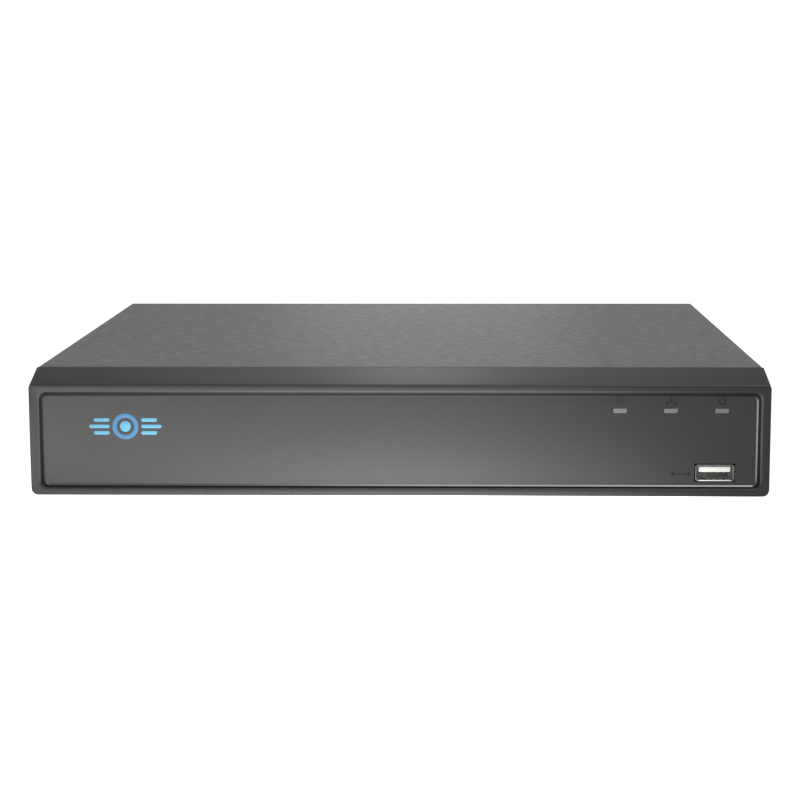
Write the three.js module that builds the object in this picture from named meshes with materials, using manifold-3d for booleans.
// A compact four-channel digital video recorder: a steel pan and cover behind a plastic front bezel, with
// a 3.5-inch hard disk, a main board, a fan and the sockets on its rear panel.
// Millimetres, +Z up, front face towards -Y. The origin is on the table, under the middle of the whole box.
import * as THREE from "three";
import { mergeVertices } from "three/addons/utils/BufferGeometryUtils.js";
import Module from "manifold-3d";

const wasm = await Module();
wasm.setup();

// ---------------------------------------------------------------- driving sizes

const WIDTH = 260; // front bezel, side to side
const BODY_DEPTH = 224.9; // front bezel to the cover's rear lip
const SOCKET_REACH = 13; // how far the video sockets stand out behind the rear lip
const HEIGHT = 47.6; // table to the top of the cover
const FOOT_DROP = 2.8; // how far the feet hold the case above the table
const SHEET = 0.8; // steel sheet of the pan, rear panel and cover
const GAP = 0.3; // clearance between neighbouring pieces
const SEAT = 0.1; // clearance under a piece that rests flat on another
const BORE = 0.1; // radial clearance of a screw in its hole
const RUNNING = 0.05; // radial clearance of a shaft that turns in its hole

// Front bezel and fascia
const BEZEL_DEPTH = 8; // front face to the seam with the cover
const CHAMFER_RISE = 5.3; // height of the sloping band above its upright front face
const SHOULDER_DROP = 6.5; // its sides start to lean in this far below the top
const COVER_INSET = 1.7; // the cover is this much narrower than the bezel, each side
const BEZEL_CORNER = 2; // radius of its lower corners
const BEZEL_WALL = 2;
const BEZEL_SIDE_WALL = 3.5;
const FRAME_BACK = 5; // depth at which the solid border of the bezel ends
const TONGUE_FROM = 7; // the bezel's rim starts here, inside the border
const TONGUE_TO = 11.2; // and reaches this far back inside the cover
const RECESS = 2.6; // fascia below the bezel's front face
const FRAME_DISH = 0.6; // how far the border slopes in before its steep inner wall
const BORDER_SIDE = 3.1; // sloped border, outer edge to inner edge
const BORDER_TOP = 2.4;
const BORDER_BOTTOM = 2.8;
const WALL_SIDE = 1.6; // width of the steep inner wall, seen from the front
const WALL_TOP = 2.1;
const WALL_BOTTOM = 0.8;
const OPENING_CORNER = 1.6; // radius of the opening's corners at the foot of that wall
const FASCIA_THICK = 2;
const FASCIA_LAP = 1.3; // how far the fascia reaches behind the border, all round
const HOOK_WIDTH = 9;
const HOOK_THICK = 2;
const HOOK_FROM_SIDE = [39.2, 81]; // snap hooks from the left wall and from the right wall
const LAMP_PITCH = 17.8;
const LAMP_FROM_EDGE = 16.8; // last lamp to the bezel's side
const LAMP_HEIGHT = 30.1; // above the case's underside
const LAMP_SIZE = [5.05, 1.85];
const LAMP_FIT = 0.1; // light pipe to its window, all round
const USB_FROM_EDGE = 18.95;
const USB_HEIGHT = 8.1;

// Pan, cover and rear panel
const PAN_FLANGE = 12; // height of the side flanges above the floor
const LIP_DROP = 3.5; // cover's rear lip
const EAR_DROP = 10; // and its three screw ears
const EAR_WIDTH = 12;
const EAR_AT = [66, 10, -48];
const EAR_SCREW_DROP = 5.8; // screws below the cover's top
const VENT_PITCH = 5.6;
const VENT_WIDTH = 2.6;
const VENT_HEIGHT = 9.5;
const VENT_COUNT = 17;
const FOOT_RADIUS = 9;
const FOOT_FROM_SIDE = 22;
const FOOT_FROM_END = 28;
const STANDOFF = 5; // main board above the floor
const STANDOFF_RADIUS = 3;
const REAR_FLANGE = 8;

// Boards
const BOARD = 1.6; // board thickness
const BOARD_FROM_DISK = 10; // main board's front edge behind the hard disk
const BOARD_LEFT = 4.2; // main board's left edge to the pan's wall
const BOARD_RIGHT = 49; // and its right edge to the pan's right wall, where the fan stands
const BOARD_HOLE_INSET = 5;
const FRONT_BOARD_WIDTH = 60;
const FRONT_BOARD_HEIGHT = 34;
const FRONT_BOARD_FROM_WALL = 4.2; // behind the pan's front wall
const FRONT_HEADER_DEPTH = 5;

// Fan
const FAN = 40;
const FAN_DEPTH = 10;
const FAN_RING = 0.9; // wall between the fan's bore and its edge
const FAN_HOLE_INSET = 4; // its screw holes from its edges
const FAN_HUB = 0.55; // hub radius as a share of half the fan's width
const FAN_TIP_CLEARANCE = 0.8;
const FAN_BLADES = 7;

// Hard disk, 3.5 inch
const DISK_LENGTH = 147;
const DISK_WIDTH = 101.6;
const DISK_HEIGHT = 26.1;
const DISK_PAD = 3; // embossed pads that it stands on
const DISK_FROM_LEFT = 6;
const DISK_FROM_FRONT = 4.5;
const DISK_SCREW_INSET = 3.175; // its bottom screws from its sides
const DISK_SCREW_ROWS = [41.28, 85.73]; // and from its socket end
const PLATTER_MARGIN = 3.3; // platter's edge to the side of the disk
const PLATTER_THICK = 1.3;
const PLATTER_STEP = 6.4; // from one platter to the next
const ARM_PARK = 6; // degrees, where the arm rests near the hub
const ARM_SWING = 30; // degrees from there to the platters' edge

// Rear panel: centre of each piece to the pan's left or right wall
const FROM_LEFT = { video: 30.2, audio: 61.2, vga: 86.2, hdmi: 113.2 };
const FROM_RIGHT = {
  usb: 123.2,
  lan: 104.2,
  serial: 86.2,
  rocker: 71.2,
  power: 57.2,
  ground: 48.6,
  fan: 23.2,
};
const VIDEO_PITCH_X = 20;
const VIDEO_PITCH_Z = 16;
const CUTOUT_FIT = 0.6; // cut-outs are this much wider and taller than their sockets

// ---------------------------------------------------------------- places that follow from them

const yFront = -(BODY_DEPTH + SOCKET_REACH) / 2;
const ySocketTip = -yFront;
const yLip = yFront + BODY_DEPTH;
const yRear = yLip - SHEET - SEAT * 2; // outer face of the rear panel
const yRearIn = yRear - SHEET;
const yPan = yFront + TONGUE_TO + GAP; // outer face of the pan's front wall
const yPanIn = yPan + SHEET;
const zCase = FOOT_DROP;
const zFloor = zCase + SHEET;
const zRoof = HEIGHT - SHEET;
const caseHeight = HEIGHT - FOOT_DROP;
const coverHalf = WIDTH / 2 - COVER_INSET;
const panHalf = coverHalf - SHEET - GAP;
const hooksX = [HOOK_FROM_SIDE[0] - panHalf, panHalf - HOOK_FROM_SIDE[1]];
const tongueTop = caseHeight - SHEET - GAP;
const bezelFace = caseHeight - CHAMFER_RISE; // height of the upright front face
const zBoard = zFloor + STANDOFF + SEAT; // main board's underside
const zBoardTop = zBoard + BOARD;
const yFrontBoard = yPanIn + FRONT_BOARD_FROM_WALL;
const lampsX = [2, 1, 0].map((n) => WIDTH / 2 - LAMP_FROM_EDGE - n * LAMP_PITCH);
const usbX = WIDTH / 2 - USB_FROM_EDGE;
const frontBoardX = WIDTH / 2 - 34;
const leftSockets = Object.entries(FROM_LEFT).map(([name, inset]) => [name, inset - panHalf]);
const rightSockets = Object.entries(FROM_RIGHT).map(([name, inset]) => [name, panHalf - inset]);
const rearX = Object.fromEntries([...leftSockets, ...rightSockets]);
const fanX = rearX.fan;
const fanZ = zFloor + SEAT + SHEET + GAP + FAN / 2; // it stands over the rear panel's flange

// ---------------------------------------------------------------- materials

function material(color, roughness, metalness = 0) {
  return new THREE.MeshStandardMaterial({ color, roughness, metalness });
}

const steelPaint = material(0x3a3a3a, 0.5, 0.1);
const bezelPlastic = material(0x2e2e2f, 0.35);
const fasciaPlastic = material(0x343435, 0.25);
const lampPlastic = material(0x9a9a9a, 0.4);
const rubber = material(0x1c1c1c, 0.9);
const plated = material(0xc9c9c6, 0.3, 1);
const zinc = material(0x9d9fa1, 0.45, 1);
const boardGreen = material(0x1d5a34, 0.5);
const aluminium = material(0xb5b8bb, 0.45, 0.9);
const casting = material(0x8d9093, 0.55, 0.8);
const blackPlastic = material(0x161616, 0.5);
const bluePlastic = material(0x1f4a9c, 0.5);
const greenPlastic = material(0x2f8f4a, 0.5);
const redPlastic = material(0xa8201c, 0.5);
const greyPlastic = material(0x8c8f92, 0.6);
const mirrorDisk = material(0xe2e4e6, 0.05, 1);

// ---------------------------------------------------------------- solids

// A closed three.js geometry as a manifold-3d solid.
function solid(geometry) {
  const bare = geometry.clone();
  bare.deleteAttribute("normal");
  bare.deleteAttribute("uv");
  const merged = mergeVertices(bare, 1e-4);
  const vertProperties = new Float32Array(merged.attributes.position.array);
  const triVerts = new Uint32Array(merged.index.array);
  const made = new wasm.Manifold(new wasm.Mesh({ numProp: 3, vertProperties, triVerts }));
  if (made.volume() > 0) return made;
  for (let i = 0; i < triVerts.length; i += 3) {
    [triVerts[i + 1], triVerts[i + 2]] = [triVerts[i + 2], triVerts[i + 1]];
  }
  return new wasm.Manifold(new wasm.Mesh({ numProp: 3, vertProperties, triVerts }));
}

function geometryOf(made) {
  const mesh = made.getMesh();
  const geometry = new THREE.BufferGeometry();
  geometry.setAttribute("position", new THREE.BufferAttribute(new Float32Array(mesh.vertProperties), 3));
  geometry.setIndex(new THREE.BufferAttribute(new Uint32Array(mesh.triVerts), 1));
  geometry.computeVertexNormals();
  return geometry;
}

const join = (...parts) => parts.flat().reduce((a, b) => a.add(b));
const cut = (from, ...tools) => from.subtract(join(...tools));

// A box between two limits along each axis.
function slab([x0, x1], [y0, y1], [z0, z1]) {
  const box = new THREE.BoxGeometry(1, 1, 1);
  const corner = box.attributes.position;
  for (let i = 0; i < corner.count; i += 1) {
    const x = corner.getX(i) < 0 ? x0 : x1;
    const y = corner.getY(i) < 0 ? y0 : y1;
    const z = corner.getZ(i) < 0 ? z0 : z1;
    corner.setXYZ(i, x, y, z);
  }
  return solid(box);
}

// Limits either side of a centre.
const about = (centre, size) => [centre - size / 2, centre + size / 2];

// Turns a geometry made along Z so that it runs along the named axis.
function turnTo(geometry, axis) {
  if (axis === "y") return geometry.rotateX(-Math.PI / 2);
  if (axis === "x") return geometry.rotateY(Math.PI / 2);
  return geometry;
}

// A round bar along an axis, between two places on it; at gives the other two coordinates, in X, Y, Z order.
function bar(axis, radius, [from, to], at, sides = 24) {
  const bare = new THREE.CylinderGeometry(radius, radius, to - from, sides).rotateX(Math.PI / 2);
  const middle = (from + to) / 2;
  const place = { x: [middle, ...at], y: [at[0], middle, at[1]], z: [...at, middle] }[axis];
  return solid(turnTo(bare, axis).translate(...place));
}

// A closed profile of [radius, height] points turned about the Z axis.
function turned(profile, sides = 24) {
  const points = profile.map(([radius, height]) => new THREE.Vector2(radius, height));
  return solid(new THREE.LatheGeometry(points, sides).rotateX(Math.PI / 2));
}

// A flat shape in the X-Z plane, as seen from the front, given depth along Y.
function frontPlate(shape, [y0, y1]) {
  const bare = new THREE.ExtrudeGeometry(shape, { depth: y1 - y0, bevelEnabled: false, curveSegments: 6 });
  return solid(bare.rotateX(Math.PI / 2).translate(0, y1, 0));
}

// A flat shape in the Y-Z plane given length along X.
function sidePlate(points, [x0, x1]) {
  const shape = new THREE.Shape(points.map(([y, z]) => new THREE.Vector2(y, z)));
  const bare = new THREE.ExtrudeGeometry(shape, { depth: x1 - x0, bevelEnabled: false });
  return solid(bare.rotateX(Math.PI / 2).rotateZ(Math.PI / 2).translate(x0, 0, 0));
}

// A flat shape in the X-Y plane given height along Z.
function flatPlate(shape, [z0, z1]) {
  const bare = new THREE.ExtrudeGeometry(shape, { depth: z1 - z0, bevelEnabled: false, curveSegments: 6 });
  return solid(bare.translate(0, 0, z0));
}

// The points [x, z] of a rectangle x0, x1, z0, z1 with round corners.
function roundRect([x0, x1, z0, z1], radius, steps = 5) {
  const centres = [
    [x1 - radius, z0 + radius],
    [x1 - radius, z1 - radius],
    [x0 + radius, z1 - radius],
    [x0 + radius, z0 + radius],
  ];
  return centres.flatMap(([x, z], corner) =>
    Array.from({ length: steps + 1 }, (_, i) => {
      const turn = ((corner - 1 + i / steps) * Math.PI) / 2;
      return [x + radius * Math.cos(turn), z + radius * Math.sin(turn)];
    }),
  );
}

// A frustum between two convex outlines of as many points, in planes of constant Y.
function taper(near, y0, far, y1) {
  const count = near.length;
  const corners = [...near.map(([x, z]) => [x, y0, z]), ...far.map(([x, z]) => [x, y1, z])];
  const indices = near.flatMap((_, a) => {
    const b = (a + 1) % count;
    const side = [a, a + count, b + count, a, b + count, b];
    return a > 0 && b > 0 ? [...side, 0, a, b, count, b + count, a + count] : side;
  });
  const bare = new THREE.BufferGeometry();
  bare.setAttribute("position", new THREE.Float32BufferAttribute(corners.flat(), 3));
  bare.setIndex(indices);
  return solid(bare);
}

// A lead of the given section along a smooth run of points.
function lead(section, points, steps) {
  const curve = new THREE.CatmullRomCurve3(points.map((p) => new THREE.Vector3(...p)), false, "centripetal");
  return solid(new THREE.ExtrudeGeometry(section, { steps, bevelEnabled: false, extrudePath: curve }));
}

function roundSection(diameter, sides = 8) {
  const shape = new THREE.Shape();
  for (let i = 0; i < sides; i += 1) {
    const turn = (i * 2 * Math.PI) / sides;
    const [u, v] = [(Math.cos(turn) * diameter) / 2, (Math.sin(turn) * diameter) / 2];
    if (i === 0) shape.moveTo(u, v);
    else shape.lineTo(u, v);
  }
  shape.closePath();
  return shape;
}

function flatSection(width, height) {
  const [u, v] = [width / 2, height / 2];
  return new THREE.Shape([[-u, -v], [u, -v], [u, v], [-u, v]].map(([a, b]) => new THREE.Vector2(a, b)));
}

const recorder = new THREE.Group();

// Names a solid, gives it its material, and puts it in the recorder.
function piece(name, made, finish, place = [0, 0, 0], turn = [0, 0, 0]) {
  const mesh = new THREE.Mesh(geometryOf(made), finish);
  mesh.name = name;
  mesh.position.set(...place);
  mesh.rotation.set(...turn);
  recorder.add(mesh);
  return mesh;
}

// ---------------------------------------------------------------- fasteners

// A pan-head screw along Z: the head's underside at 0, the shank below it.
function panScrew(headRadius, headHeight, shankRadius, length) {
  return turned(
    [
      [0, -length],
      [shankRadius, -length],
      [shankRadius, 0],
      [headRadius, 0],
      [headRadius, headHeight * 0.55],
      [headRadius * 0.6, headHeight],
      [0, headHeight],
    ],
    12,
  );
}

const M3 = { head: 2.7, height: 1.9, shank: 1.5 };
const M3_TAP = M3.shank + BORE; // hole that an M3 screw grips
const UNC6 = { head: 3.2, height: 1.2, shank: 1.75 };
const headUp = [0, 0, 0];
const headDown = [Math.PI, 0, 0];
const headRear = [-Math.PI / 2, 0, 0]; // head towards +Y

// ---------------------------------------------------------------- front bezel

// The bezel's outline from the front: round lower corners, sides that lean in above the shoulder.
function bezelOutline() {
  const half = WIDTH / 2;
  const top = zCase + caseHeight;
  const shoulder = top - SHOULDER_DROP;
  const shape = new THREE.Shape();
  shape.moveTo(-half + BEZEL_CORNER, zCase);
  shape.lineTo(half - BEZEL_CORNER, zCase);
  shape.absarc(half - BEZEL_CORNER, zCase + BEZEL_CORNER, BEZEL_CORNER, -Math.PI / 2, 0, false);
  shape.lineTo(half, shoulder);
  shape.lineTo(coverHalf, top);
  shape.lineTo(-coverHalf, top);
  shape.lineTo(-half, shoulder);
  shape.absarc(-half + BEZEL_CORNER, zCase + BEZEL_CORNER, BEZEL_CORNER, Math.PI, 1.5 * Math.PI, false);
  return shape;
}

// Height of the chamfer's outer face at a depth behind the front.
function chamferAt(depth) {
  return bezelFace + (CHAMFER_RISE * depth) / BEZEL_DEPTH;
}

// The opening in the border: x0, x1, z0, z1 at the outer edge of the steep wall, or at its foot.
function openingAt(foot) {
  const side = WIDTH / 2 - BORDER_SIDE - (foot ? WALL_SIDE : 0);
  const low = zCase + BORDER_BOTTOM + (foot ? WALL_BOTTOM : 0);
  const high = zCase + bezelFace - BORDER_TOP - (foot ? WALL_TOP : 0);
  return [-side, side, low, high];
}

function grown([x0, x1, z0, z1], by) {
  return [x0 - by, x1 + by, z0 - by, z1 + by];
}

function hook(x, up) {
  const root = up ? zCase + tongueTop - BEZEL_WALL : zCase + BEZEL_WALL;
  const away = up ? -1 : 1; // from the rim towards the middle of the case
  const levels = (a, b) => [root + away * a, root + away * b].sort((p, q) => p - q);
  const barb = 0.9;
  return join(
    slab(about(x, HOOK_WIDTH), [yFront + BEZEL_DEPTH, yPanIn + 3], levels(-0.5, HOOK_THICK)),
    slab(about(x, HOOK_WIDTH), [yPanIn + GAP, yPanIn + 2], levels(0, HOOK_THICK + barb)),
  );
}

function frontBezel() {
  const back = yFront + BEZEL_DEPTH;
  const profile = [
    [yFront, zCase + 0.8],
    [yFront + 0.8, zCase],
    [back, zCase],
    [back, zCase + caseHeight],
    [yFront + 0.4, zCase + chamferAt(0.4)],
    [yFront, zCase + bezelFace - 0.4],
  ];
  const outer = sidePlate(profile, [-WIDTH / 2 - 1, WIDTH / 2 + 1]).intersect(
    frontPlate(bezelOutline(), [yFront - 1, back + 1]),
  );
  const innerHalf = WIDTH / 2 - BEZEL_SIDE_WALL;
  const roofDrop = BEZEL_WALL / Math.cos(Math.atan2(CHAMFER_RISE, BEZEL_DEPTH));
  const hollow = [
    [yFront + FRAME_BACK, zCase + BEZEL_WALL],
    [back + 1, zCase + BEZEL_WALL],
    [back + 1, zCase + chamferAt(BEZEL_DEPTH) - roofDrop],
    [yFront + FRAME_BACK, zCase + chamferAt(FRAME_BACK) - roofDrop],
  ];
  const rimDepth = [yFront + TONGUE_FROM, yFront + TONGUE_TO];
  const rim = slab([-panHalf, panHalf], rimDepth, [zCase, zCase + tongueTop]);
  const rimHole = slab(
    [-panHalf + BEZEL_WALL, panHalf - BEZEL_WALL],
    [yFront + TONGUE_FROM - 1, yFront + TONGUE_TO + 1],
    [zCase + BEZEL_WALL, zCase + tongueTop - BEZEL_WALL],
  );
  const edge = roundRect(openingAt(false), OPENING_CORNER + 1);
  const foot = roundRect(openingAt(true), OPENING_CORNER);
  const wallFoot = yFront + RECESS - GAP;
  const seat = grown(openingAt(true), FASCIA_LAP + SEAT);
  const border = roundRect([-WIDTH / 2, WIDTH / 2, zCase, zCase + bezelFace], 0.3);
  return join(
    cut(
      outer,
      sidePlate(hollow, [-innerHalf, innerHalf]),
      taper(border, yFront, edge, yFront + FRAME_DISH),
      taper(edge, yFront + FRAME_DISH - 0.01, foot, wallFoot),
      taper(foot, wallFoot - 0.01, foot, yFront + FRAME_BACK + 1),
      slab([seat[0], seat[1]], [wallFoot + GAP - SEAT, yFront + FRAME_BACK + 1], [seat[2], seat[3]]),
    ),
    cut(rim, rimHole),
    hooksX.flatMap((x) => [hook(x, true), hook(x, false)]),
  );
}

const usbShell = [13.7, 5.9]; // width and height of a USB socket's steel shell

function fasciaPanel() {
  const [x0, x1, z0, z1] = grown(openingAt(true), FASCIA_LAP);
  const depth = [yFront + RECESS, yFront + RECESS + FASCIA_THICK];
  const through = [depth[0] - 1, depth[1] + 1];
  const windowZ = about(zCase + LAMP_HEIGHT, LAMP_SIZE[1]);
  const windows = lampsX.map((x) => slab(about(x, LAMP_SIZE[0]), through, windowZ));
  const [w, h] = usbShell.map((size) => size + CUTOUT_FIT);
  const mouth = slab(about(usbX, w), through, about(zCase + USB_HEIGHT, h));
  return cut(slab([x0, x1], depth, [z0, z1]), windows, mouth);
}

// A clear bar that carries a lamp's light from the front board to its window, with a stop flange.
function lightPipe(x) {
  const z = zCase + LAMP_HEIGHT;
  const [w, h] = LAMP_SIZE.map((s) => s - 2 * LAMP_FIT);
  const flangeFrom = yFront + RECESS + FASCIA_THICK + SEAT;
  return join(
    slab(about(x, w), [yFront + RECESS, yFrontBoard - GAP - 1.2], about(z, h)),
    slab(about(x, w + 3), [flangeFrom, flangeFrom + 1], about(z, h + 2)),
  );
}

// ---------------------------------------------------------------- front board

const frontHeader = [frontBoardX - 8, zCase + 13]; // where its lead plugs in, on the back
const frontBoardZ = [zCase + 3.4, zCase + 3.4 + FRONT_BOARD_HEIGHT];
const frontScrews = [
  [frontBoardX - FRONT_BOARD_WIDTH / 2 + 5, frontBoardZ[0] + 5],
  [frontBoardX - FRONT_BOARD_WIDTH / 2 + 5, frontBoardZ[1] - 5],
];

function frontBoard() {
  const lamps = lampsX.map((x) =>
    slab(about(x, 3.2), [yFrontBoard - 1.2, yFrontBoard + 0.2], about(zCase + LAMP_HEIGHT, 1.6)),
  );
  const back = yFrontBoard + BOARD;
  const holes = frontScrews.map((at) => bar("y", M3_TAP, [yFrontBoard - 1, back + 1], at, 12));
  const headerDepth = [back - 0.1, back + FRONT_HEADER_DEPTH];
  const header = slab(about(frontHeader[0], 12), headerDepth, about(frontHeader[1], 6));
  const sheet = slab(about(frontBoardX, FRONT_BOARD_WIDTH), [yFrontBoard, back], frontBoardZ);
  return cut(join(sheet, lamps, header), holes);
}

// A USB type A socket along Y: steel shell, mouth towards -Y at 0, tongue in its upper half.
function usbSocket(length) {
  const [w, h] = usbShell;
  const skin = 0.45;
  const shell = slab(about(0, w), [0, length], about(0, h));
  const mouth = slab(about(0, w - 2 * skin), [-1, length - 2], about(0, h - 2 * skin));
  const tongue = slab(about(0, 11.1), [1.2, length - 1], [0.1, 1.95]);
  return join(cut(shell, mouth), tongue);
}

// ---------------------------------------------------------------- pan, cover and rear panel

const footPlaces = [-1, 1].flatMap((side) =>
  [yFront + FOOT_FROM_END, yLip - FOOT_FROM_END].map((y) => [side * (WIDTH / 2 - FOOT_FROM_SIDE), y]),
);

const diskX = [-panHalf + DISK_FROM_LEFT, -panHalf + DISK_FROM_LEFT + DISK_LENGTH];
const diskY = [yPanIn + DISK_FROM_FRONT, yPanIn + DISK_FROM_FRONT + DISK_WIDTH];
const diskZ = [zFloor + DISK_PAD + SEAT, zFloor + DISK_PAD + SEAT + DISK_HEIGHT];
const diskScrews = DISK_SCREW_ROWS.flatMap((fromEnd) =>
  [diskY[0] + DISK_SCREW_INSET, diskY[1] - DISK_SCREW_INSET].map((y) => [diskX[1] - fromEnd, y]),
);

const boardX = [-panHalf + BOARD_LEFT, panHalf - BOARD_RIGHT];
const boardY = [diskY[1] + BOARD_FROM_DISK, yRearIn - GAP];
const boardScrews = [boardX[0] + BOARD_HOLE_INSET, boardX[1] - BOARD_HOLE_INSET].flatMap((x) =>
  [boardY[0] + BOARD_HOLE_INSET, boardY[1] - 20].map((y) => [x, y]),
);

// A block of slots through a level sheet, rows along Y.
function floorVents([x0, x1], y, length) {
  const slots = [];
  const count = Math.floor((x1 - x0) / VENT_PITCH);
  for (let i = 0; i < count; i += 1) {
    const x = x0 + (i + 0.5) * VENT_PITCH;
    slots.push(slab(about(x, VENT_WIDTH), about(y, length), [zCase - 1, zFloor + 1]));
  }
  return slots;
}

function basePan() {
  const rearEnd = yRearIn - GAP;
  const wallTop = zRoof - 0.6;
  const folded = cut(
    slab([-panHalf, panHalf], [yPan, rearEnd], [zCase, wallTop]),
    slab([-panHalf + SHEET, panHalf - SHEET], [yPanIn, rearEnd + 1], [zFloor, wallTop + 1]),
    slab([-panHalf - 1, panHalf + 1], [yPanIn, rearEnd + 1], [zFloor + PAN_FLANGE, wallTop + 1]),
  );
  const sheet = join(
    folded,
    boardScrews.map((at) => bar("z", STANDOFF_RADIUS, [zCase + 0.1, zFloor + STANDOFF], at, 16)),
    diskScrews.map((at) => bar("z", 5, [zCase + 0.1, zFloor + DISK_PAD], at, 16)),
    frontScrews.map((at) => bar("y", STANDOFF_RADIUS, [yPan + 0.1, yFrontBoard - SEAT], at, 16)),
  );
  const lampSlot = [lampsX[0] - LAMP_SIZE[0] / 2 - 2, lampsX[2] + LAMP_SIZE[0] / 2 + 2];
  const hookSlots = hooksX.flatMap((x) => [
    slab(about(x, HOOK_WIDTH + 1), [yPan - 1, yPanIn + 1], [
      zCase + tongueTop - BEZEL_WALL - HOOK_THICK - GAP,
      zCase + tongueTop - BEZEL_WALL + 0.5 + GAP,
    ]),
    slab(about(x, HOOK_WIDTH + 1), [yPan - 1, yPanIn + 1], [
      zCase + BEZEL_WALL - 0.5 - GAP,
      zCase + BEZEL_WALL + HOOK_THICK + GAP,
    ]),
  ]);
  return cut(
    sheet,
    boardScrews.map((at) => bar("z", M3_TAP, [zCase - 1, zFloor + STANDOFF + 1], at, 12)),
    diskScrews.map((at) => bar("z", UNC6.shank + 0.25, [zCase - 1, zFloor + DISK_PAD + 1], at, 12)),
    diskScrews.map((at) => bar("z", UNC6.head + GAP, [zCase - 1, zCase + UNC6.height + GAP], at, 12)),
    frontScrews.map((at) => bar("y", M3_TAP, [yPan - 1, yFrontBoard + 1], at, 12)),
    slab(lampSlot, [yPan - 1, yPanIn + 1], about(zCase + LAMP_HEIGHT, LAMP_SIZE[1] + 3)),
    slab(about(usbX, usbShell[0] + 2), [yPan - 1, yPanIn + 1], about(zCase + USB_HEIGHT, usbShell[1] + 2)),
    hookSlots,
    floorVents([diskX[0] + 56, diskX[0] + 96], (diskY[0] + diskY[1]) / 2, 44),
    floorVents([boardX[0] + 60, boardX[1] - 50], (boardY[0] + boardY[1]) / 2 - 12, 40),
  );
}

// The slots in the cover's sides: two rows, centred along its length.
function sideVents(x) {
  const slots = [];
  const rows = [zRoof - 6 - VENT_HEIGHT, zRoof - 8 - 2 * VENT_HEIGHT];
  for (const row of rows) {
    for (let i = 0; i < VENT_COUNT; i += 1) {
      const y = (yFront + yLip) / 2 + (i - (VENT_COUNT - 1) / 2) * VENT_PITCH;
      slots.push(slab([x - 2, x + 2], about(y, VENT_WIDTH), [row, row + VENT_HEIGHT]));
    }
  }
  return slots;
}

const earScrewZ = HEIGHT - EAR_SCREW_DROP;

function topCover() {
  const start = yFront + BEZEL_DEPTH + GAP;
  const outer = slab([-coverHalf, coverHalf], [start, yLip], [zCase, HEIGHT]);
  const inner = slab([-coverHalf + SHEET, coverHalf - SHEET], [start - 1, yLip - SHEET], [zCase - 1, zRoof]);
  const through = [yLip - SHEET - 1, yLip + 1];
  const lip = HEIGHT - LIP_DROP;
  const rearOpening = slab([-coverHalf + SHEET, coverHalf - SHEET], through, [zCase - 1, lip]);
  const earDepth = [yLip - SHEET, yLip];
  const ears = EAR_AT.map((x) => slab(about(x, EAR_WIDTH), earDepth, [HEIGHT - EAR_DROP, lip + 0.5]));
  const holes = EAR_AT.map((x) => bar("y", M3.shank + 2 * BORE, through, [x, earScrewZ], 12));
  return cut(
    join(cut(outer, inner, rearOpening), ears),
    holes,
    sideVents(-coverHalf),
    sideVents(coverHalf),
  );
}

// One slot of the fan's grille: a piece of a ring.
function grilleArc(inner, outer, from, to) {
  const shape = new THREE.Shape();
  shape.absarc(fanX, fanZ, outer, from, to, false);
  shape.absarc(fanX, fanZ, inner, to, from, true);
  return shape;
}

function fanGrille() {
  const slots = [];
  const bands = [
    [0.29, 0.45],
    [0.53, 0.69],
    [0.77, 0.93],
  ];
  for (const [inner, outer] of bands.map((band) => band.map((share) => share * fanBore))) {
    for (let i = 0; i < 4; i += 1) {
      const margin = 1 / outer;
      const [from, to] = [(i * Math.PI) / 2 + margin, ((i + 1) * Math.PI) / 2 - margin];
      slots.push(frontPlate(grilleArc(inner, outer, from, to), [yRearIn - 1, yRear + 1]));
    }
  }
  return slots;
}

// The rear sockets: width and height of what shows in the rear panel, and the height of its centre.
const onBoard = (size) => ({ size, z: zBoardTop + SEAT + size[1] / 2 });
const rear = {
  audio: onBoard([10, 24.2]),
  vga: onBoard([31, 12.6]),
  hdmi: onBoard([15, 5.8]),
  usb: onBoard(usbShell),
  lan: onBoard([16, 13.6]),
  serial: onBoard([11.4, 9.2]),
  power: onBoard([9.2, 11.2]),
  rocker: { size: [9, 13], z: zFloor + 20 },
};
const videoLow = zBoardTop + 8.2; // centre of the lower pair of video sockets
const videoPlaces = [0, 1].flatMap((row) =>
  [-1, 1].map((side) => [rearX.video + (side * VIDEO_PITCH_X) / 2, videoLow + row * VIDEO_PITCH_Z]),
);
const groundPlace = [rearX.ground, zFloor + 32];
const fanReach = FAN / 2 - FAN_HOLE_INSET;
const fanCorners = [-1, 1].flatMap((u) => [-1, 1].map((v) => [fanX + u * fanReach, fanZ + v * fanReach]));
const fanBore = FAN / 2 - FAN_RING;
const fanScrews = [fanCorners[0], fanCorners[3]];

function rearPanel() {
  const wallTop = zRoof - 0.6;
  const deep = [yRearIn - 1, yRear + 1];
  const window = (name) => {
    const { size, z } = rear[name];
    return slab(about(rearX[name], size[0] + CUTOUT_FIT), deep, about(z, size[1] + CUTOUT_FIT));
  };
  const flangeZ = [zFloor + SEAT, zFloor + SEAT + SHEET];
  const flange = slab([-panHalf + 6, panHalf - 6], [yRearIn - REAR_FLANGE, yRear - 0.1], flangeZ);
  const plate = slab([-panHalf, panHalf], [yRearIn, yRear], [zCase, wallTop]);
  const ventsX = [-3, -2, -1, 0, 1, 2, 3].map((i) => rearX.serial - 3 + i * VENT_PITCH);
  const vents = ventsX.map((x) => slab(about(x, VENT_WIDTH), deep, [zFloor + 27, zFloor + 33]));
  return cut(
    join(plate, flange),
    ["audio", "vga", "hdmi", "usb", "lan", "serial", "rocker", "power"].map(window),
    videoPlaces.map((at) => bar("y", 6.6, deep, at, 20)),
    fanGrille(),
    fanCorners.map((at) => bar("y", M3_TAP, deep, at, 12)),
    EAR_AT.map((x) => bar("y", M3_TAP, deep, [x, earScrewZ], 12)),
    bar("y", M3_TAP, deep, groundPlace, 12),
    vents,
  );
}

// ---------------------------------------------------------------- main board

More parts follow.
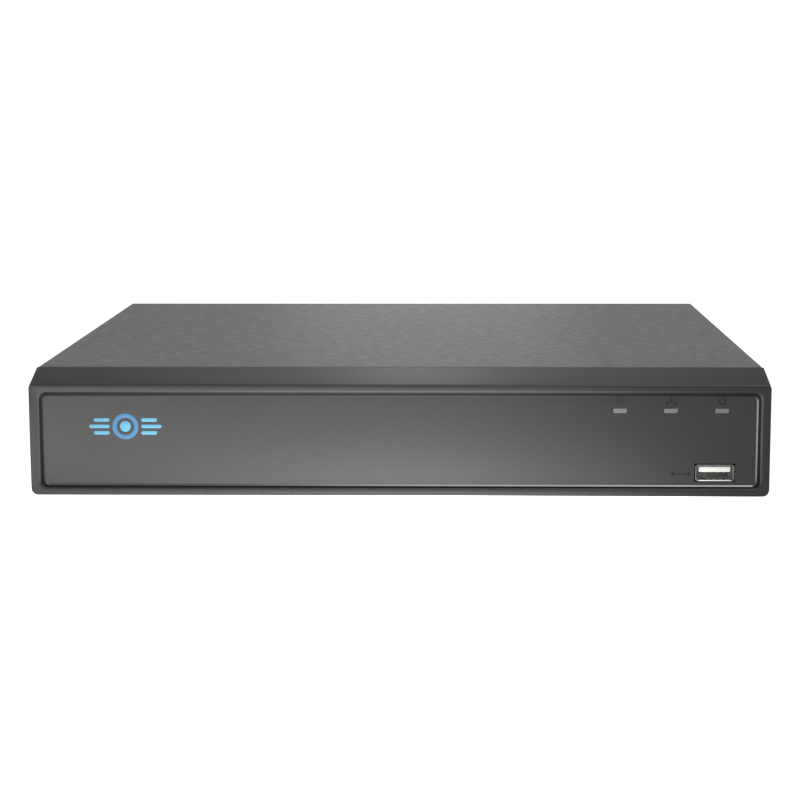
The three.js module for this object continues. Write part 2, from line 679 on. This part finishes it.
const chipPlace = [-8, boardY[0] + 36];
const sataPlace = [boardX[1] - 30, boardY[0] + 9];
const diskPowerPlace = [boardX[1] - 48, boardY[0] + 7];
const panelHeaderPlace = [boardX[1] - 14, boardY[0] + 9];
const fanHeaderPlace = [boardX[1] - 6, boardY[0] + 52];
const cellPlace = [boardX[0] + 30, boardY[0] + 24];

function mainBoard() {
  const part = ([x, y], [w, d, h]) => slab(about(x, w), about(y, d), [zBoardTop - 0.1, zBoardTop + h]);
  const memoryPlaces = [-38, 38].flatMap((u) => [-9, 9].map((v) => [chipPlace[0] + u, chipPlace[1] + v]));
  const memory = memoryPlaces.map((at) => part(at, [12, 9, 1.1]));
  const parts = join(
    slab(boardX, boardY, [zBoard, zBoardTop]),
    part(chipPlace, [23, 23, 1.6]),
    memory,
    part(sataPlace, [17, 7, 8.5]),
    part(diskPowerPlace, [12, 6, 8]),
    part(panelHeaderPlace, [12, 5, 6]),
    part(fanHeaderPlace, [5, 8, 6]),
  );
  return cut(parts, boardScrews.map((at) => bar("z", M3_TAP, [zBoard - 1, zBoardTop + 1], at, 12)));
}

function heatSink() {
  const size = 38;
  const base = 3;
  const bottom = zBoardTop + 1.6 + SEAT;
  const fins = [];
  for (let i = 0; i < 9; i += 1) {
    const x = chipPlace[0] + (i - 4) * 4.5;
    fins.push(slab(about(x, 1.3), about(chipPlace[1], size), [bottom + base - 0.1, bottom + 15]));
  }
  return join(slab(about(chipPlace[0], size), about(chipPlace[1], size), [bottom, bottom + base]), fins);
}

// ---------------------------------------------------------------- rear sockets

// A video socket along Z, mouth up: flange, nut, and a hollow barrel with two bayonet lugs and a centre pin.
function videoSocket() {
  const reach = ySocketTip - yRear; // beyond the panel's outer face
  const body = turned(
    [
      [0, -8],
      [4.6, -8],
      [4.6, -SHEET - SEAT],
      [6.3, -SHEET - SEAT],
      [6.3, SEAT],
      [7.6, SEAT],
      [7.6, 2.4],
      [5.9, 2.6],
      [5.9, 4.4],
      [4.85, 4.8],
      [4.85, reach],
      [4.1, reach],
      [4.1, reach - 8],
      [0.7, reach - 8],
      [0.7, reach - 2.2],
      [0, reach - 2.2],
    ],
    20,
  );
  const lugs = [-1, 1].map((side) => bar("x", 1, [side * 5 - 0.9, side * 5 + 0.9], [0, reach - 4.2], 10));
  return join(body, lugs);
}

function videoHousing() {
  const front = yRearIn - SEAT;
  const top = videoLow + VIDEO_PITCH_Z + 8;
  const block = slab(about(rearX.video, 38), [front - 15, front], [zBoardTop + SEAT, top]);
  return cut(block, videoPlaces.map((at) => bar("y", 6.9, [front - 13, front + 1], at, 20)));
}

// Two stacked phono sockets: a block with two barrels, each hollow.
function audioSockets() {
  const { size, z } = rear.audio;
  const x = rearX.audio;
  const block = slab(about(x, size[0]), [yRearIn - 12, yRear + 0.6], about(z, size[1]));
  const levels = [z - 6, z + 6];
  const barrels = levels.map((level) => bar("y", 4.1, [yRear, yRear + 9.5], [x, level], 20));
  const mouths = levels.map((level) => bar("y", 1.8, [yRear - 2, yRear + 11], [x, level], 12));
  return cut(join(block, barrels), mouths);
}

// The flared D outline of a VGA socket, wider at the top.
function dOutline(width, height, x, z) {
  const lean = height * 0.18;
  const round = height * 0.25;
  const [w, h] = [width / 2, height / 2];
  const shape = new THREE.Shape();
  shape.moveTo(x - w + lean + round, z - h);
  shape.lineTo(x + w - lean - round, z - h);
  shape.quadraticCurveTo(x + w - lean, z - h, x + w - lean * 0.8, z - h + round);
  shape.lineTo(x + w, z + h - round);
  shape.quadraticCurveTo(x + w, z + h, x + w - round, z + h);
  shape.lineTo(x - w + round, z + h);
  shape.quadraticCurveTo(x - w, z + h, x - w, z + h - round);
  shape.lineTo(x - w + lean * 0.8, z - h + round);
  shape.quadraticCurveTo(x - w + lean, z - h, x - w + lean + round, z - h);
  return shape;
}

function vgaSocket() {
  const { size, z } = rear.vga;
  const x = rearX.vga;
  const block = slab(about(x, size[0]), [yRearIn - 12, yRear + 0.6], about(z, size[1]));
  const shell = frontPlate(dOutline(16.8, 8.4, x, z), [yRear, yRear + 6.2]);
  const posts = [-1, 1].map((side) => bar("y", 2.6, [yRear, yRear + 5.4], [x + side * 12.4, z], 6));
  const mouth = cut(
    frontPlate(dOutline(15.9, 7.5, x, z), [yRear + 1.2, yRear + 7]),
    frontPlate(dOutline(14.6, 6.3, x, z), [yRear + 1, yRear + 5.6]),
  );
  return cut(join(block, shell, posts), mouth);
}

function hdmiSocket() {
  const { size, z } = rear.hdmi;
  const x = rearX.hdmi;
  const mouthEnd = yRear + 0.8;
  const outline = (w, h) => {
    const shape = new THREE.Shape();
    shape.moveTo(x - w / 2 + 2, z - h / 2);
    shape.lineTo(x + w / 2 - 2, z - h / 2);
    shape.lineTo(x + w / 2, z - h / 2 + 2);
    shape.lineTo(x + w / 2, z + h / 2);
    shape.lineTo(x - w / 2, z + h / 2);
    shape.lineTo(x - w / 2, z - h / 2 + 2);
    return shape;
  };
  const shell = frontPlate(outline(size[0], size[1]), [yRearIn - 11, mouthEnd]);
  const hollow = frontPlate(outline(size[0] - 0.9, size[1] - 0.9), [yRearIn - 8, mouthEnd + 1]);
  return join(cut(shell, hollow), slab(about(x, 11), [yRearIn - 9, yRear - 0.6], about(z + 0.2, 1.2)));
}

const lanMouth = [11.9, 7.4, 13]; // width, height and depth
const lanMouthZ = rear.lan.z - 1.4;

function lanSocket() {
  const { size, z } = rear.lan;
  const x = rearX.lan;
  const outEnd = yRear + 0.6;
  const block = slab(about(x, size[0]), [yRearIn - 20, outEnd], about(z, size[1]));
  return cut(
    block,
    slab(about(x, lanMouth[0]), [outEnd - lanMouth[2], outEnd + 1], about(lanMouthZ, lanMouth[1])),
    slab(about(x, 6), [outEnd - lanMouth[2], outEnd + 1], [lanMouthZ, lanMouthZ + lanMouth[1] / 2 + 2.2]),
  );
}

function powerInlet() {
  const { size, z } = rear.power;
  const x = rearX.power;
  const outEnd = yRear + 0.6;
  const block = slab(about(x, size[0]), [yRearIn - 13, outEnd], about(z, size[1]));
  const mouth = bar("y", 3.2, [outEnd - 9, outEnd + 1], [x, z], 20);
  return join(cut(block, mouth), bar("y", 1, [outEnd - 10, outEnd - 1.5], [x, z], 12));
}

// The fixed half of the RS-485 terminal, with two pins, and the pluggable half that slides out of it.
const contactsX = (x) => [x - 2.54, x + 2.54];

function serialHeader() {
  const { size, z } = rear.serial;
  const x = rearX.serial;
  const block = slab(about(x, size[0]), [yRearIn - 9, yRear + 0.6], about(z, size[1]));
  const pocket = slab(about(x, size[0] - 1.6), [yRearIn - 6.5, yRear + 2], about(z, size[1] - 1.8));
  const pins = contactsX(x).map((at) => slab(about(at, 1), [yRearIn - 8, yRear - 1.2], about(z, 1)));
  return join(cut(block, pocket), pins);
}

function serialPlug() {
  const { size, z } = rear.serial;
  const x = rearX.serial;
  const nose = slab(about(x, size[0] - 2.4), [yRearIn - 5.8, yRear + 1.4], about(z, size[1] - 2.6));
  const body = slab(about(x, size[0] - 0.8), [yRear + 1.2, yRear + 9], about(z, size[1] + 0.8));
  const top = z + size[1] / 2;
  const sockets = contactsX(x).map((at) => slab(about(at, 1.8), [yRearIn - 7, yRear + 3], about(z, 1.8)));
  const wires = contactsX(x).map((at) => slab(about(at, 3.2), [yRear + 5, yRear + 10], about(z - 1, 3)));
  const screws = contactsX(x).map((at) => bar("z", 1.6, [top - 0.8, top + 2], [at, yRear + 5.4], 12));
  return cut(join(nose, body), sockets, wires, screws);
}

// ---------------------------------------------------------------- power switch

const ROCKER_TILT = 11; // degrees either side of level
const ROCKER_PIN = 1.2; // radius of its two pivot pins
const rockerPivot = [rearX.rocker, yRear - 2.5, rear.rocker.z];

function switchBody() {
  const { size, z } = rear.rocker;
  const x = rearX.rocker;
  const rim = slab(about(x, size[0] + 2), [yRear + SEAT, yRear + 1.6], about(z, size[1] + 2));
  const box = slab(about(x, size[0]), [yRearIn - 13, yRear + 0.5], about(z, size[1]));
  const well = slab(about(x, size[0] - 1.6), [yRearIn - 6, yRear + 3], about(z, size[1] - 1.6));
  const tabDepth = [yRearIn - 18, yRearIn - 12];
  const tabs = [z - 3.5, z + 3.5].map((level) => slab(about(x, 6), tabDepth, about(level, 0.8)));
  const pinHole = bar("x", ROCKER_PIN + RUNNING, about(x, size[0] + 1), rockerPivot.slice(1), 24);
  return cut(join(rim, box, tabs), well, pinHole);
}

// The rocker about its own pivot pins: a shallow V seen from the side, with its two faces outwards.
function switchRocker() {
  const { size } = rear.rocker;
  const half = size[1] / 2 - 1.8;
  const profile = [
    [-3.4, -2],
    [-3.4, 2],
    [-0.6, half],
    [4.2, half],
    [3.5, 0],
    [4.2, -half],
    [-0.6, -half],
  ];
  const width = size[0] - 1.6 - 2 * GAP;
  const pins = bar("x", ROCKER_PIN, about(0, size[0] - 0.2), [0, 0], 24);
  return join(sidePlate(profile, about(0, width)), pins);
}

// ---------------------------------------------------------------- fan

const fanY = [yRearIn - SEAT - FAN_DEPTH, yRearIn - SEAT];
const fanHub = (FAN_HUB * FAN) / 2;
const FAN_MOTOR = 3; // depth of the motor boss that the rotor's shaft turns in
const FAN_SHAFT = 1.5; // its radius

function fanFrame() {
  const body = slab(about(fanX, FAN), fanY, about(fanZ, FAN));
  const bore = bar("y", fanBore, [fanY[0] - 1, fanY[1] + 1], [fanX, fanZ], 36);
  const motor = bar("y", fanHub - 1, [fanY[1] - FAN_MOTOR, fanY[1]], [fanX, fanZ], 24);
  const bearing = bar("y", FAN_SHAFT + RUNNING, [fanY[0] - 1, fanY[1] + 1], [fanX, fanZ], 24);
  const arms = [0, 1, 2].map((n) => {
    const arm = new THREE.BoxGeometry(fanBore + 0.6, 1.4, 2).translate(fanBore / 2, 0, 0);
    const turn = (n * 2 * Math.PI) / 3 + 0.5;
    return solid(arm.rotateY(-turn).translate(fanX, fanY[1] - 0.7, fanZ));
  });
  const holes = fanCorners.map((at) => bar("y", M3_TAP, [fanY[0] - 1, fanY[1] + 1], at, 12));
  return cut(join(cut(body, bore), motor, arms), bearing, holes);
}

// The rotor about its own axis, which lies along Y: a cup with seven pitched blades and a shaft.
function fanRotor() {
  const length = FAN_DEPTH - FAN_MOTOR - 2 * GAP;
  const cup = bar("y", fanHub, [0, length], [0, 0], 28);
  const shaft = bar("y", FAN_SHAFT, [length - 1, length + FAN_MOTOR], [0, 0], 24);
  const tip = fanBore - FAN_TIP_CLEARANCE;
  const pitch = THREE.MathUtils.degToRad(38);
  const blades = [];
  for (let i = 0; i < FAN_BLADES; i += 1) {
    const blade = new THREE.BoxGeometry(tip - fanHub + 1, 1, 9);
    blade.rotateX(pitch).translate((tip + fanHub - 1) / 2, length / 2, 0);
    blades.push(solid(blade.rotateY((-i * 2 * Math.PI) / FAN_BLADES)));
  }
  const swept = bar("y", tip, [0.3, length - 0.3], [0, 0], 36);
  return join(cup, shaft, join(blades).intersect(swept));
}

// ---------------------------------------------------------------- hard disk

const diskMid = (diskY[0] + diskY[1]) / 2;
const platterRadius = DISK_WIDTH / 2 - PLATTER_MARGIN;
const spindle = [diskX[0] + platterRadius + 3.5, diskMid]; // platters' axis
const armPivot = [spindle[0] + 53, diskMid + 22];
const diskFloor = diskZ[0] + 8; // floor of the casting, above its circuit board
const lidThick = 1;
const spindleShaft = 3; // radius of the platters' shaft, and of the arm's fixed post
const stackZ = diskFloor + 3.2; // underside of the lower platter
const bossRadius = 3;
const diskNotch = { width: 52, depth: 5, height: 6.5 }; // for the two sockets

function diskBase() {
  const body = slab(diskX, diskY, [diskZ[0], diskZ[1] - lidThick - SEAT]);
  const wall = diskZ[1] - lidThick - SEAT;
  const platterWell = bar("z", platterRadius + 1.5, [diskFloor, wall + 1], spindle, 48);
  const armWell = slab([spindle[0] + 20, diskX[1] - 8], [diskY[0] + 8, diskY[1] - 5], [diskFloor, wall + 1]);
  const bottom = diskZ[0] - 1;
  const pocketY = [diskY[0] + 5, diskY[1] - 5];
  const boardPocket = slab([diskX[0] + 20, diskX[1] + 1], pocketY, [bottom, diskZ[0] + 3.2]);
  const notchX = [diskX[1] - diskNotch.depth, diskX[1] + 1];
  const notch = slab(notchX, about(diskMid, diskNotch.width), [bottom, diskZ[0] + diskNotch.height]);
  const bearing = bar("z", spindleShaft + RUNNING, [diskFloor - 2.5, diskFloor + 1], spindle, 32);
  const post = bar("z", spindleShaft, [diskFloor - 1, diskFloor + 12], armPivot, 32);
  const screwHoles = diskScrews.map((at) => bar("z", UNC6.shank + BORE, [bottom, diskZ[0] + 6], at, 12));
  const bosses = diskScrews.map((at) => bar("z", bossRadius, [diskZ[0], diskZ[0] + 4], at, 16));
  return cut(join(cut(body, platterWell, armWell, boardPocket, notch), bosses, post), screwHoles, bearing);
}

function diskLid() {
  return slab([diskX[0] + 1, diskX[1] - 1], [diskY[0] + 1, diskY[1] - 1], [diskZ[1] - lidThick, diskZ[1]]);
}

// Two platters on their hub, about the spindle's axis, from the hub's foot up.
function diskPlatters() {
  const first = stackZ - diskFloor - GAP;
  const second = first + PLATTER_STEP;
  const hub = 12.5;
  return turned(
    [
      [0, -2.3],
      [spindleShaft, -2.3],
      [spindleShaft, 0],
      [hub, 0],
      [hub, first],
      [platterRadius, first],
      [platterRadius, first + PLATTER_THICK],
      [hub, first + PLATTER_THICK],
      [hub, second],
      [platterRadius, second],
      [platterRadius, second + PLATTER_THICK],
      [hub, second + PLATTER_THICK],
      [hub, second + PLATTER_THICK + 1.5],
      [0, second + PLATTER_THICK + 1.5],
    ],
    48,
  );
}

// The head arm about its pivot: a hub, three tapered fingers towards -X, and the coil behind.
function diskArm() {
  const reach = 44;
  const fingers = [-1.6, PLATTER_STEP / 2 + PLATTER_THICK / 2 - 0.5, PLATTER_STEP + PLATTER_THICK + 0.6];
  const finger = new THREE.Shape();
  finger.moveTo(5, -6);
  finger.lineTo(-reach, -1.6);
  finger.lineTo(-reach, 1.6);
  finger.lineTo(5, 6);
  const lowest = stackZ - diskFloor - GAP;
  const coil = new THREE.Shape();
  coil.moveTo(4, -4);
  coil.lineTo(17.5, -10);
  coil.lineTo(17.5, 10);
  coil.lineTo(4, 4);
  const top = lowest + PLATTER_STEP + PLATTER_THICK + 1.6;
  return cut(
    join(
      bar("z", 7, [0, top], [0, 0], 24),
      fingers.map((z) => flatPlate(finger, [lowest + z, lowest + z + 1])),
      flatPlate(coil, [4.2, 6.2]),
    ),
    bar("z", spindleShaft + RUNNING, [-1, top + 1], [0, 0], 32),
  );
}

// The voice coil's magnets: two plates held apart by a spine behind the coil.
function diskMagnets() {
  const shape = new THREE.Shape();
  shape.moveTo(9, -13);
  shape.lineTo(25, -15);
  shape.lineTo(25, 15);
  shape.lineTo(9, 13);
  const bottom = diskFloor + SEAT;
  return join(
    flatPlate(shape, [bottom, bottom + 2.8]),
    flatPlate(shape, [bottom + 7.6, bottom + 10.4]),
    slab([22.6, 25], [-15, 15], [bottom, bottom + 10.4]),
  );
}

function diskBoard() {
  const sheetZ = [diskZ[0] + 0.6, diskZ[0] + 2.2];
  const sheet = slab([diskX[0] + 21, diskX[1] - 0.5], [diskY[0] + 6, diskY[1] - 6], sheetZ);
  const holes = diskScrews.map((at) => bar("z", bossRadius + GAP, [diskZ[0] - 1, diskZ[0] + 4], at, 16));
  const sockets = slab(
    [diskX[1] - diskNotch.depth + 0.4, diskX[1] - 0.5],
    about(diskMid, diskNotch.width - 4),
    [diskZ[0] + 2, diskZ[0] + diskNotch.height - 0.5],
  );
  return cut(join(sheet, sockets), holes);
}

// ---------------------------------------------------------------- leads inside the case

const plugZ = diskZ[0] + 3.4; // centre of the plugs at the disk's end
const diskEnd = diskX[1] + SEAT;

function sataLead() {
  const y = diskMid - 14;
  const [hx, hy] = sataPlace;
  const top = zBoardTop + 8.5 + SEAT;
  return join(
    slab([diskEnd, diskEnd + 12], about(y, 14), about(plugZ, 6)),
    lead(flatSection(1.3, 7), [
      [diskEnd + 11, y, plugZ],
      [diskEnd + 17, y, plugZ],
      [diskEnd + 27, y + 10, plugZ + 6],
      [hx + 2, hy - 34, top + 8],
      [hx, hy - 16, top + 17],
      [hx, hy - 4, top + 18],
      [hx, hy, top + 14],
      [hx, hy, top + 8],
    ], 36),
    slab(about(hx, 15), about(hy, 6), [top, top + 9]),
  );
}

function diskPowerLead() {
  const y = diskMid + 12;
  const [hx, hy] = diskPowerPlace;
  const top = zBoardTop + 8 + SEAT;
  return join(
    slab([diskEnd, diskEnd + 12], about(y, 24), about(plugZ, 6)),
    lead(roundSection(4.2), [
      [diskEnd + 11, y, plugZ],
      [diskEnd + 16, y, plugZ + 1],
      [diskEnd + 19, y + 14, plugZ + 8],
      [hx + 7, hy - 20, top + 6],
      [hx + 1, hy - 6, top + 13],
      [hx, hy, top + 11],
      [hx, hy, top + 6],
    ], 30),
    slab(about(hx, 11), about(hy, 5), [top, top + 7]),
  );
}

function frontLead() {
  const [hx, hy] = panelHeaderPlace;
  const top = zBoardTop + 6 + SEAT;
  const startY = yFrontBoard + BOARD + FRONT_HEADER_DEPTH + SEAT;
  const [x, z] = frontHeader;
  return join(
    slab(about(x, 11), [startY, startY + 6], about(z, 5)),
    lead(flatSection(9, 1.2), [
      [x, startY + 5, z],
      [x, startY + 12, z],
      [x - 3, startY + 30, z - 4],
      [hx + 6, hy - 40, z - 5],
      [hx, hy - 18, top + 6],
      [hx, hy - 5, top + 13],
      [hx, hy, top + 10],
      [hx, hy, top + 5],
    ], 36),
    slab(about(hx, 11), about(hy, 4.4), [top, top + 6]),
  );
}

function fanLead() {
  const [hx, hy] = fanHeaderPlace;
  const top = zBoardTop + 6 + SEAT;
  const side = fanX - FAN / 2; // it enters the fan's frame here
  const level = fanZ - 5;
  return join(
    slab(about(hx, 4.6), about(hy, 7), [top, top + 6]),
    lead(roundSection(2.4), [
      [hx, hy, top + 5],
      [hx, hy, top + 9],
      [hx + 3, hy + 7, top + 11],
      [side - 5, fanY[0] - 8, level + 3],
      [side - 4.5, fanY[0] + 2, level],
      [side - 2.5, fanY[0] + 5, level],
      [side - SEAT, fanY[0] + 5, level],
    ], 30),
  );
}

// ---------------------------------------------------------------- assembly

piece("front_bezel", frontBezel(), bezelPlastic);
piece("fascia_panel", fasciaPanel(), fasciaPlastic);
lampsX.forEach((x, i) => piece(`light_pipe_${i + 1}`, lightPipe(x), lampPlastic));

piece("front_board", frontBoard(), boardGreen);
const usbMouth = [usbX, yFront + RECESS - 0.6, zCase + USB_HEIGHT];
piece("front_usb_socket", usbSocket(yFrontBoard - SEAT - usbMouth[1]), plated, usbMouth);
const shortScrew = panScrew(M3.head, M3.height, M3.shank, 4.5);
frontScrews.forEach(([x, z], i) => {
  piece(`front_board_screw_${i + 1}`, shortScrew, zinc, [x, yFrontBoard + BOARD + SEAT, z], headRear);
});

piece("base_pan", basePan(), steelPaint);
piece("rear_panel", rearPanel(), steelPaint);
piece("top_cover", topCover(), steelPaint);
EAR_AT.forEach((x, i) => {
  piece(`cover_screw_${i + 1}`, shortScrew, zinc, [x, yLip + SEAT, earScrewZ], headRear);
});

const foot = turned([
  [0, 0],
  [FOOT_RADIUS - 1, 0],
  [FOOT_RADIUS, 0.8],
  [FOOT_RADIUS, FOOT_DROP - SEAT],
  [0, FOOT_DROP - SEAT],
]);
["front_left", "rear_left", "front_right", "rear_right"].forEach((corner, i) => {
  piece(`foot_${corner}`, foot, rubber, [...footPlaces[i], 0]);
});

piece("main_board", mainBoard(), boardGreen);
boardScrews.forEach((at, i) => {
  piece(`board_screw_${i + 1}`, shortScrew, zinc, [...at, zBoardTop + SEAT], headUp);
});
piece("heat_sink", heatSink(), aluminium);
const cell = turned([[0, 0], [9.2, 0], [10, 0.6], [10, 3.2], [0, 3.2]]);
piece("clock_cell", cell, plated, [...cellPlace, zBoardTop + SEAT]);

piece("video_housing", videoHousing(), blackPlastic);
videoPlaces.forEach(([x, z], i) => {
  piece(`video_socket_${i + 1}`, videoSocket(), plated, [x, yRear, z], headRear);
});
piece("audio_sockets", audioSockets(), plated);
piece("vga_socket", vgaSocket(), bluePlastic);
piece("hdmi_socket", hdmiSocket(), plated);
piece("rear_usb_socket", usbSocket(16), plated, [rearX.usb, yRear + 0.6, rear.usb.z], [0, 0, Math.PI]);
piece("lan_socket", lanSocket(), plated);
piece("serial_header", serialHeader(), greenPlastic);
piece("serial_plug", serialPlug(), greenPlastic);
piece("power_inlet", powerInlet(), blackPlastic);
piece("switch_body", switchBody(), blackPlastic);
const rockerTurn = [THREE.MathUtils.degToRad(-ROCKER_TILT), 0, 0];
piece("switch_rocker", switchRocker(), blackPlastic, rockerPivot, rockerTurn);
piece("ground_screw", shortScrew, zinc, [groundPlace[0], yRear + SEAT, groundPlace[1]], headRear);

piece("fan_frame", fanFrame(), blackPlastic);
piece("fan_rotor", fanRotor(), blackPlastic, [fanX, fanY[0] + GAP, fanZ]);
const longScrew = panScrew(M3.head, M3.height, M3.shank, FAN_DEPTH - 1);
fanScrews.forEach(([x, z], i) => {
  piece(`fan_screw_${i + 1}`, longScrew, zinc, [x, yRear + SEAT, z], headRear);
});

piece("disk_base", diskBase(), casting);
piece("disk_lid", diskLid(), aluminium);
piece("disk_platters", diskPlatters(), mirrorDisk, [...spindle, diskFloor + GAP]);
const armTurn = [0, 0, THREE.MathUtils.degToRad(ARM_PARK)];
piece("disk_head_arm", diskArm(), aluminium, [...armPivot, diskFloor + GAP], armTurn);
const magnetTurn = [0, 0, THREE.MathUtils.degToRad(ARM_PARK - ARM_SWING / 2)];
piece("disk_magnets", diskMagnets(), zinc, [...armPivot, 0], magnetTurn);
piece("disk_board", diskBoard(), boardGreen);
const diskScrew = panScrew(UNC6.head, UNC6.height, UNC6.shank, 6);
diskScrews.forEach((at, i) => {
  piece(`disk_screw_${i + 1}`, diskScrew, zinc, [...at, zCase + UNC6.height + SEAT], headDown);
});

piece("sata_lead", sataLead(), redPlastic);
piece("disk_power_lead", diskPowerLead(), blackPlastic);
piece("front_lead", frontLead(), greyPlastic);
piece("fan_lead", fanLead(), blackPlastic);

export default recorder;
